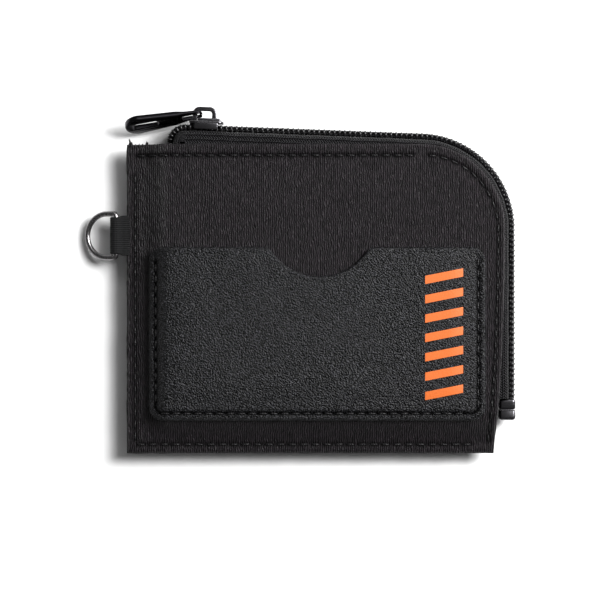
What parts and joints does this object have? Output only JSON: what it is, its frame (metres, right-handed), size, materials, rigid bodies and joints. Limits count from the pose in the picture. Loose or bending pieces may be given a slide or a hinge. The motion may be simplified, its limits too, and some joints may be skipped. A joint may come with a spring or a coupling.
{
  "type": "zippered pouch",
  "caption": "Slim black fabric pouch with an L-shaped coil zip, a leather card pocket with a thumb notch on the front, and a D-ring on a webbing loop.",
  "frame": {"origin": "centre of the fabric panels, on the flat of the back leaf", "axes": "+Z out of the front leaf, +X along the width, +Y towards the zipped top edge"},
  "size_m": [0.126, 0.1012, 0.0123],
  "materials": {
    "outer_cloth": "crinkled nylon, matte",
    "foam": "thin sewing foam",
    "lining_cloth": "plain woven polyester",
    "pocket_leather": "fine pebble grain, satin",
    "thread": "polyester sewing thread",
    "accent_print": "orange transfer print",
    "zip_tape": "woven polyester tape",
    "zip_coil": "nylon coil",
    "gunmetal": "gunmetal plated zinc",
    "webbing": "ribbed webbing",
    "nickel_wire": "dark nickel plated steel wire"
  },
  "bodies": {
    "root": {"front_shell": "outer_cloth", "front_foam": "foam", "front_lining": "lining_cloth", "back_shell": "outer_cloth", "back_foam": "foam", "back_lining": "lining_cloth", "card_pocket": "pocket_leather", "pocket_stitching": "thread", "accent_print": "accent_print", "front_zip_tape": "zip_tape", "back_zip_tape": "zip_tape", "front_zip_coil": "zip_coil", "back_zip_coil": "zip_coil", "zip_end_clip": "gunmetal", "front_zip_stitching": "thread", "back_zip_stitching": "thread", "seam_stitching": "thread", "ring_tab": "webbing"},
    "ring": {"d_ring": "nickel_wire"},
    "slider": {"slider_body": "gunmetal", "slider_bridge": "gunmetal"},
    "pull": {"pull_tab": "gunmetal"}
  },
  "joints": [
    {"name": "slider_travel", "type": "slide", "parent": "root", "child": "slider", "axis": [0.9993, -0.0379, 0], "range_m": [0, 0.055], "deforming": ["front_zip_tape", "back_zip_tape", "front_zip_coil", "back_zip_coil"]},
    {"name": "pull_tab_swing", "type": "hinge", "parent": "slider", "child": "pull", "pos_m": [-0.03338, 0.05406, 0.0051], "axis": [0, 0, -1], "range_deg": [0, 183]},
    {"name": "d_ring_swing", "type": "hinge", "parent": "root", "child": "ring", "pos_m": [-0.0583, 0.0185, 0.0051], "axis": [0, 1, 0], "range_deg": [-55, 105]}
  ]
}
